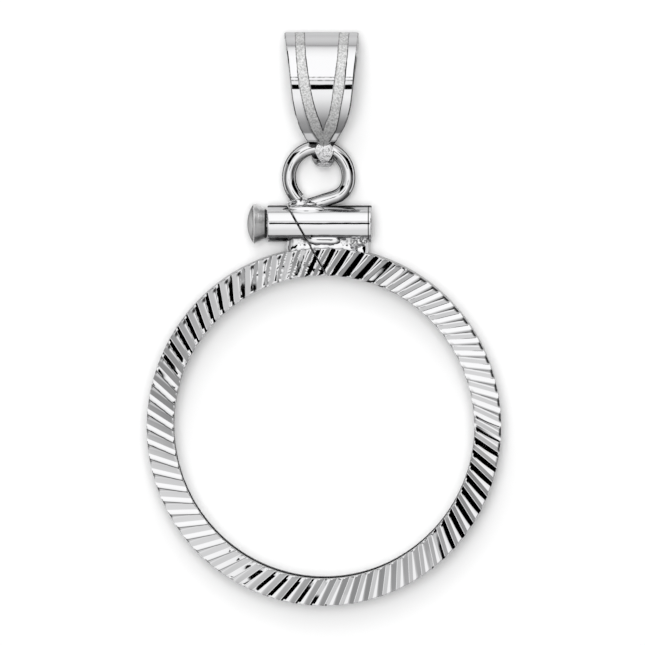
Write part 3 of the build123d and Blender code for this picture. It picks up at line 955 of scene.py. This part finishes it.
def frosted_gold(name, finish):
    """Buffed white gold with sandblasted bands: where the frost attribute is 1 the mirror gives way to a
    dull, speckled grain, about 0.1 mm, a little coarser than real grit so that it shows. Engraved lines
    hold dark dirt, painted shade lies along the edges and in the hollows, painted shade also darkens the metal
    and the frost, and the rough attribute marks pitted solder."""
    material, tree = new_material(name)
    frost, engraved, shade_and_marks, rough = (attribute(tree, mark) for mark in ("frost", "engraved", "shade_and_marks", "rough"))
    grain = noise(tree, 0.10, 2.0, Roughness=0.7)
    # Soft buffing waves, then lumps and pits of the soldered tongue, about 0.22 mm, then the grain
    normal = relief(tree, noise(tree, 1.2, 1.0), 0.006)
    normal = relief(tree, product(tree, noise(tree, 0.22, 3.0), rough), 0.16, normal)
    normal = relief(tree, product(tree, grain, frost), 0.03, normal)
    gloss = remap(tree, frost, finish.polish, finish.matte)
    # Frost with its speckle: the pits between the grains are darker
    speckle = remap(tree, grain, 0.62, 1.12, 0.36, 0.62)
    grey = add_node(tree, "ShaderNodeVectorMath", {0: finish.frost}, {"Scale": speckle}, operation="SCALE")
    # Painted shade darkens the frost to half
    shade = remap(tree, shade_and_marks, 1.0, 0.5)
    links = {0: (grey, "Vector"), "Scale": shade}
    frost_shaded = add_node(tree, "ShaderNodeVectorMath", links=links, operation="SCALE")
    banded = mix(tree, frost, mix(tree, shade_and_marks, finish.metal, finish.shade_and_marks), (frost_shaded, "Vector"))
    # The line is broken up into dots where the grain runs over it
    drawn = product(tree, engraved, remap(tree, grain, 1.0, 0.35, 0.38, 0.58))
    links = {"Base Color": mix(tree, drawn, banded, finish.line), "Roughness": gloss, "Normal": normal}
    close_material(tree, "ShaderNodeBsdfPrincipled", {"Metallic": 1.0}, links)
    return material


def turned_gold(name, finish):
    """White gold as it comes off the lathe, unpolished: dull grey, with fine rings round the screw's axis
    about 0.08 mm apart, and cloudy patches where it was handled."""
    material, tree = new_material(name)
    # Only the distance along the axis counts, so the pattern is rings
    coordinates = (add_node(tree, "ShaderNodeTexCoord"), "Object")
    along = add_node(tree, "ShaderNodeMapping", {"Scale": (1.0, 0.04, 0.04)}, {"Vector": coordinates})
    normal = relief(tree, noise(tree, 0.08, 2.0, (along, "Vector")), 0.02)
    gloss = remap(tree, noise(tree, 0.3, 3.0), 0.30, 0.50, 0.3, 0.7)
    # Dark marks on the screw: painted shade in the gap at the barrel and round the face
    tint = mix(tree, attribute(tree, "engraved"), finish.screw, finish.line)
    links = {"Base Color": tint, "Roughness": gloss, "Normal": normal}
    close_material(tree, "ShaderNodeBsdfPrincipled", {"Metallic": 1.0}, links)
    return material


class BEZEL_OT_ring(bpy.types.Operator):
    """Builds the ring with its slanted cuts, sawn through at the top"""

    bl_idname = "bezel.ring"
    bl_label = "Ring"

    def execute(self, context):
        scene = context.scene
        points, marks = ring_points(in_mm(scene.bezel_ring), in_mm(scene.bezel_barrel))
        gold = polished_gold("diamond-cut white gold", scene.bezel_finish, waves=0.004)
        parts = [surface(points, wrap_columns=True, cap_ends=True)]
        add_piece("ring", parts, gold, marks, sharp=15, nodes=["bezel_frame"])
        return {"FINISHED"}


class BEZEL_OT_barrel(bpy.types.Operator):
    """Builds both halves of the sawn barrel"""

    bl_idname = "bezel.barrel"
    bl_label = "Barrel"

    def execute(self, context):
        gold = polished_gold("buffed white gold tube", context.scene.bezel_finish)
        for name, side in (("barrel_left", -1), ("barrel_right", 1)):
            points, marks = barrel_points(in_mm(context.scene.bezel_barrel), side)
            add_piece(name, [surface(points, wrap_rows=True, wrap_columns=True)], gold, marks)
        return {"FINISHED"}


class BEZEL_OT_solder(bpy.types.Operator):
    """Builds the solder between the ring, the barrel and the loop"""

    bl_idname = "bezel.solder"
    bl_label = "Solder"

    def execute(self, context):
        scene = context.scene
        b, ring_radius = in_mm(scene.bezel_barrel), in_mm(scene.bezel_ring).radius
        soft = polished_gold("lightly buffed solder", scene.bezel_finish, 0.012, pits=0.03, pit_depth=0.025)
        buffed = polished_gold("buffed solder", scene.bezel_finish, waves=0.02)
        # The saddle's ends are 1.95 mm left and 2.30 mm right of the middle
        wall = saddle_points(b, -1.95, 2.30, ring_radius)
        for name, side in (("saddle_left", -1), ("saddle_right", 1)):
            half = trim_to_cut(wall, b, side)
            add_piece(name, [surface(half, wrap_columns=True, cap_ends=True)], buffed)
        # The long bead under the barrel is a ball with its x, y and z raised to powers below 1
        ball = blob((0, 0, 0), (1, 1, 1), steps=48)
        square = np.sign(ball) * np.abs(ball) ** np.array((0.45, 0.8, 0.8))
        bead = trim_to_cut(np.array((0.0, 9.60, 1.50)) + square * np.array((0.88, 0.26, 0.26)), b)
        # Painted shade on the bead's sides, where they turn away from the front
        marks = {"shade_and_marks": edge_on_shade(square[..., 2], 42, 58)}
        add_piece("bead", [surface(bead, wrap_rows=True)], buffed, marks)
        lumps = (
            blob((1.82, 9.50, 1.45), (0.42, 0.28, 0.34), 0.07, 1.0),
            blob((2.05, 9.62, 1.42), (0.26, 0.20, 0.30), 0.09, 2.6),
            blob((1.62, 9.34, 1.50), (0.30, 0.14, 0.30), 0.08, 4.1),
        )
        add_piece("solder_lumps", [surface(lump, wrap_rows=True) for lump in lumps], soft)
        foot = (
            blob((-1.28, 11.46, 1.12), (0.60, 0.36, 0.50), 0.03, 0.4),
            blob((-0.70, 11.42, 1.12), (0.46, 0.26, 0.42), 0.03, 2.0),
        )
        foot = trim_to_cut(np.stack(foot), b)
        # Two black pits beside the cut are painted on, as painted shade
        gap = [np.hypot(foot[..., 0] - x, foot[..., 1] - y) for x, y in ((-1.62, 11.50), (-1.20, 11.66))]
        marks = {"engraved": np.clip(2 * bell(np.minimum(*gap), 0, 0.06) - 0.4, 0, 1)}
        add_piece("loop_foot", [surface(lump, wrap_rows=True) for lump in foot], soft, marks)
        fillet = trim_to_cut(blob((-0.95, 11.12, 1.52), (1.05, 0.34, 0.36)), b)
        add_piece("loop_fillet", [surface(clear_of_bore(fillet, b), wrap_rows=True)], buffed)
        return {"FINISHED"}


class BEZEL_OT_loop(bpy.types.Operator):
    """Builds the wire loop"""

    bl_idname = "bezel.loop"
    bl_label = "Wire loop"

    def execute(self, context):
        points, marks = loop_points(in_mm(context.scene.bezel_loop))
        gold = polished_gold("buffed white gold wire", context.scene.bezel_finish, waves=0.03)
        add_piece("wire_loop", [surface(points, wrap_columns=True, cap_ends=True)], gold, marks)
        return {"FINISHED"}


class BEZEL_OT_bail(bpy.types.Operator):
    """Builds the bail with its frosted bands"""

    bl_idname = "bezel.bail"
    bl_label = "Bail"

    def execute(self, context):
        points, marks = bail_points(in_mm(context.scene.bezel_bail))
        gold = frosted_gold("buffed and sandblasted white gold", context.scene.bezel_finish)
        parts = [surface(points, wrap_columns=True, cap_ends=True)]
        add_piece("bail_strap", parts, gold, marks, 14, "bail", ["bail"])
        return {"FINISHED"}


class BEZEL_OT_screw(bpy.types.Operator):
    """Builds the slotted clamp screw"""

    bl_idname = "bezel.screw"
    bl_label = "Clamp screw"

    def execute(self, context):
        b = in_mm(context.scene.bezel_barrel)
        sizes = in_mm(context.scene.bezel_screw)
        # Its seat is just clear of the barrel's left end, and its tip stays inside the right end
        parts, marks = screw_parts(sizes, b.left - 0.04, b.right - 0.35, b.axis_y, b.axis_z)
        gold = turned_gold("turned white gold", context.scene.bezel_finish)
        add_piece("screw", parts, gold, marks, body="screw", nodes=["clamp_screw"])
        return {"FINISHED"}


def tent_glow(way, camera):
    """How bright the light tent is in each direction: even cloth overhead that brightens towards the
    bail, sides as in the table from 39 degrees down, a dim foot, two black cards beside the bail that
    stand across it, and the hole for the lens."""
    x, y, z = way[..., 0], way[..., 1], way[..., 2]
    around = np.arctan2(x, y)
    down = np.degrees(np.arccos(np.clip(z, -1, 1)))
    ahead, aside = down * np.cos(around), down * np.sin(around)
    low = np.interp(np.degrees(around) % 360, *TENT_GLOW) * np.interp(down, *TENT_FALL)
    upper = 1.55 + 0.17 * np.clip(ahead / 22, 0, 1)
    glow = upper + (low - upper) * np.clip((down - 18) / 24, 0, 1)
    reach = np.abs(aside)
    right_card = between(ahead, 4 - 0.16 * (reach - 43), 36 + 0.25 * (reach - 28), 1.5) * (aside > 20)
    left_card = between(ahead, 15.5 + 0.5 * (reach - 43), 35.5 + 0.55 * (reach - 27), 1.5) * (aside < -20)
    glow *= 1 - (right_card + left_card) * np.clip((down - 34) / 2, 0, 1)
    # A faint shade across the cloth, from 5 to 17 degrees towards the bail
    glow *= 1 - 0.12 * between(np.degrees(np.arctan2(y, z)), 5, 17, 1.0)
    from_lens = np.degrees(np.arccos(np.clip(way @ camera, -1, 1)))
    return glow * np.clip((from_lens - 5.0) / 0.5, 0, 1)


def stage_mesh(name, points, quads, material):
    """A piece of the stage, which isn't part of the object."""
    mesh = bpy.data.meshes.new(name)
    mesh.from_pydata(points.reshape(-1, 3), [], quads.tolist())
    mesh.materials.append(material)
    mesh.shade_smooth()
    thing = bpy.data.objects.new(name, mesh)
    bpy.context.scene.collection.objects.link(thing)
    return thing


class BEZEL_OT_stage(bpy.types.Operator):
    """Builds the floor, the light tent, the lights and the camera"""

    bl_idname = "bezel.stage"
    bl_label = "Stage"

    def execute(self, context):
        scene = context.scene
        s = scene.bezel_stage
        camera_way = np.array((sin(s.tilt_right), sin(s.tilt_up), 0.0))
        camera_way[2] = sqrt(1 - camera_way @ camera_way)

        paper, tree = new_material("matte white paper")
        values = {"Base Color": (*s.floor, 1), "Roughness": 0.9, "Specular IOR Level": 0.1}
        close_material(tree, "ShaderNodeBsdfPrincipled", values)
        # The floor is 4 m wide and 0.01 mm under the pendant
        corners = np.array([(-2, -2, -0.00001), (2, -2, -0.00001), (2, 2, -0.00001), (-2, 2, -0.00001)])
        stage_mesh("floor", corners, np.array([[0, 1, 2, 3]]), paper)

        # A half ball of lit cloth, 3 m across, which only reflections show
        around = np.radians(np.arange(0, 360, 1.0))[:, None]
        down = np.radians(np.linspace(0.0, 90, 181))[None, :]
        way = grid(np.sin(down) * np.sin(around), np.sin(down) * np.cos(around), np.cos(down))
        cloth, tree = new_material("lit tent cloth")
        close_material(tree, "ShaderNodeEmission", {}, {"Strength": attribute(tree, "glow")})
        tent = stage_mesh("light_tent", way * 1.5, quads_of(360, 181, wrap_rows=True), cloth)
        layer = tent.data.attributes.new("glow", "FLOAT", "POINT")
        layer.data.foreach_set("value", tent_glow(way, camera_way).astype(np.float32).ravel())
        cloth.cycles.emission_sampling = "NONE"
        tent.visible_camera = tent.visible_diffuse = tent.visible_shadow = False

        # Round lamps for the floor and its shadows: place and diameter in metres, power in watts
        for name, spot, size, power in (
            ("key", (-0.07, 0.52, 0.78), 0.6, 2.8),
            ("overhead", (-0.02, 0.06, 1.0), 0.55, 7.6),
            ("ceiling", (0.0, 0.1, 1.2), 2.4, 4.0),
            ("fill_left", (-0.8, -0.1, 0.6), 0.6, 0.8),
            ("fill_right", (0.8, -0.1, 0.6), 0.6, 0.6),
        ):
            data = bpy.data.lights.new(name, "AREA")
            data.shape, data.size, data.energy = "DISK", size, power
            light = bpy.data.objects.new(name, data)
            scene.collection.objects.link(light)
            light.location = spot
            light.rotation_mode = "QUATERNION"
            light.rotation_quaternion = Vector(spot).normalized().to_track_quat("Z", "Y")
            light.visible_glossy = light.visible_camera = False

        world = bpy.data.worlds.new("dark room")
        world.use_nodes = True
        world.node_tree.nodes["Background"].inputs["Color"].default_value = (0, 0, 0, 1)
        scene.world = world

        data = bpy.data.cameras.new("camera")
        data.lens, data.sensor_width = s.lens, 36.0
        data.clip_start, data.clip_end = 0.01, 20
        camera = bpy.data.objects.new("camera", data)
        scene.collection.objects.link(camera)
        aim = Vector((-0.078 * MM, 5.32 * MM, 1.5 * MM))
        camera.location = aim + Vector(camera_way) * (s.lens / 36.0 * s.width)
        camera.rotation_mode = "QUATERNION"
        right = Vector((0, 1, 0)).cross(Vector(camera_way)).normalized()
        upright = Matrix((right, Vector(camera_way).cross(right), camera_way)).transposed()
        camera.rotation_quaternion = upright.to_quaternion()
        scene.camera = camera
        scene.view_settings.view_transform = "Standard"
        return {"FINISHED"}


class BEZEL_PT_panel(bpy.types.Panel):
    """Lists the pieces of the pendant and their sizes"""

    bl_idname = "BEZEL_PT_panel"
    bl_label = "Coin bezel pendant"
    bl_space_type = "VIEW_3D"
    bl_region_type = "UI"
    bl_category = "Bezel"

    def draw(self, context):
        for operator, group in STEPS:
            box = self.layout.box()
            box.operator(operator.bl_idname)
            settings = getattr(context.scene, group)
            for name in settings.bl_rna.properties.keys():
                if name not in ("rna_type", "name"):
                    box.prop(settings, name)


GROUPS = {
    "bezel_ring": BezelRingSizes,
    "bezel_barrel": BezelBarrelSizes,
    "bezel_loop": BezelLoopSizes,
    "bezel_bail": BezelBailSizes,
    "bezel_screw": BezelScrewSizes,
    "bezel_finish": BezelFinish,
    "bezel_stage": BezelStage,
}
STEPS = (
    (BEZEL_OT_ring, "bezel_ring"),
    (BEZEL_OT_barrel, "bezel_barrel"),
    (BEZEL_OT_solder, "bezel_finish"),
    (BEZEL_OT_loop, "bezel_loop"),
    (BEZEL_OT_bail, "bezel_bail"),
    (BEZEL_OT_screw, "bezel_screw"),
    (BEZEL_OT_stage, "bezel_stage"),
)


def register():
    for name, group in GROUPS.items():
        bpy.utils.register_class(group)
        setattr(bpy.types.Scene, name, bpy.props.PointerProperty(type=group))
    for operator, _ in STEPS:
        bpy.utils.register_class(operator)
    bpy.utils.register_class(BEZEL_PT_panel)


def unregister():
    bpy.utils.unregister_class(BEZEL_PT_panel)
    for operator, _ in reversed(STEPS):
        bpy.utils.unregister_class(operator)
    for name, group in reversed(GROUPS.items()):
        delattr(bpy.types.Scene, name)
        bpy.utils.unregister_class(group)


def main():
    register()
    bpy.ops.bezel.ring()
    bpy.ops.bezel.barrel()
    bpy.ops.bezel.solder()
    bpy.ops.bezel.loop()
    bpy.ops.bezel.bail()
    bpy.ops.bezel.screw()
    bpy.ops.bezel.stage()


if __name__ == "__main__":
    main()
